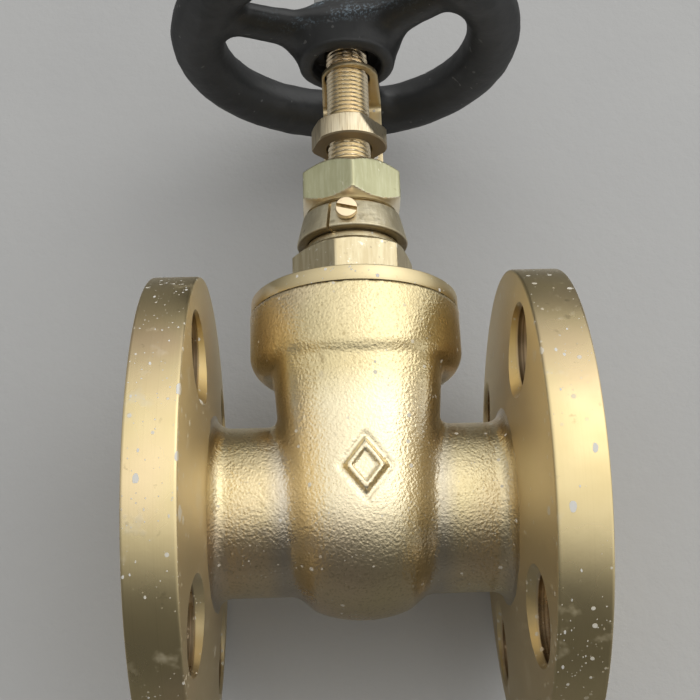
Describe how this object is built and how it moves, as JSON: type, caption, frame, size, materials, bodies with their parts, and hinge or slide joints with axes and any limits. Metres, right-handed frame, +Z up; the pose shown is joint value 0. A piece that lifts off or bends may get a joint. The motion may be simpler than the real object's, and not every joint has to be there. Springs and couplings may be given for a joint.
{
  "type": "flanged gate valve",
  "caption": "Flanged brass gate valve with a handwheel on a non-rising stem, a sliding wedge gate and an outside nut that shows open or shut.",
  "frame": {"origin": "on the stem axis, level with the lowest points of the two flange rims, 57.5 mm below the pipe axis: the centre of the bottom of the bounding box", "axes": "+X along the pipe from the left flange to the right flange, +Z up along the stem towards the handwheel, -Y towards the side with the raised lozenge and the clamp ring's screw"},
  "size_m": [0.0974, 0.115, 0.208],
  "materials": {
    "cast_brass": "sand-cast golden brass, fine orange-peel grain",
    "turned_brass": "machined brass, fine turning marks",
    "black_paint": "black paint on rough cast iron, semi-gloss",
    "plated_steel": "zinc plated steel",
    "gasket_sheet": "dark pressed gasket sheet",
    "packing_cord": "graphited braided packing"
  },
  "bodies": {
    "casing": {"valve_body": "cast_brass", "seat_ring_left": "turned_brass", "seat_ring_right": "turned_brass", "bonnet": "turned_brass", "bonnet_gasket": "gasket_sheet", "packing_ring_lower": "packing_cord", "packing_ring_middle": "packing_cord", "packing_ring_upper": "packing_cord", "gland_follower": "turned_brass", "gland_nut": "turned_brass", "clamp_ring": "cast_brass", "clamp_screw": "turned_brass", "indicator_bracket": "turned_brass", "bracket_screw_left": "turned_brass", "bracket_screw_right": "turned_brass"},
    "spindle": {"stem": "turned_brass", "handwheel": "black_paint", "wheel_washer": "plated_steel", "wheel_nut": "plated_steel"},
    "gate": {"gate_wedge": "cast_brass", "wedge_nut": "turned_brass"},
    "indicator": {"indicator_nut": "turned_brass"}
  },
  "joints": [
    {"name": "stem_turn", "type": "hinge", "parent": "casing", "child": "spindle", "pos_m": [0, 0, 0.122], "axis": [0, 0, 1], "range_deg": [-1584, 2376]},
    {"name": "gate_lift", "type": "slide", "parent": "casing", "child": "gate", "axis": [0, 0, 1], "range_m": [-0.01321, 0.01981]},
    {"name": "indicator_travel", "type": "slide", "parent": "casing", "child": "indicator", "axis": [0, 0, 1], "range_m": [-0.00551, 0.00826]}
  ],
  "couplings": [
    {"joint": "gate_lift", "follows": "stem_turn", "m_per_rad": 0.00047746},
    {"joint": "indicator_travel", "follows": "stem_turn", "m_per_rad": 0.00019894}
  ]
}
